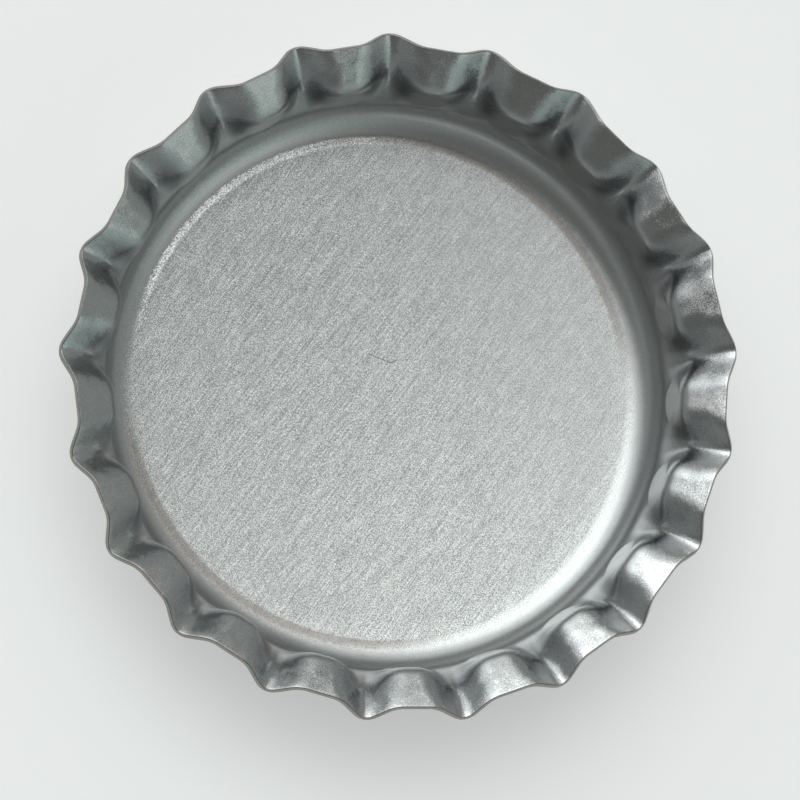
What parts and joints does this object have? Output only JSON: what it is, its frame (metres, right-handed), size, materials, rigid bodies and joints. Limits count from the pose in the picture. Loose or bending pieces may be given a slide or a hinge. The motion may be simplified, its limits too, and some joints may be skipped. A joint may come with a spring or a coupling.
{
  "type": "crown bottle cap",
  "caption": "Unused pressed-steel crown bottle cap, open side up, with a flat panel, a rounded knuckle and a flared, fluted skirt.",
  "frame": {"origin": "centre of the outer face of the panel, which the cap lies on", "axes": "+Z is the cap's axis, from the panel to the open side; +X runs through the tip of one flute crest"},
  "size_m": [0.032, 0.032, 0.006],
  "materials": {
    "tinplate": "bare satin tinplate with a fine rolled grain on the panel, smoother and glossier on the pressed skirt"
  },
  "bodies": {
    "root": {"cap_shell": "tinplate"}
  },
  "joints": []
}
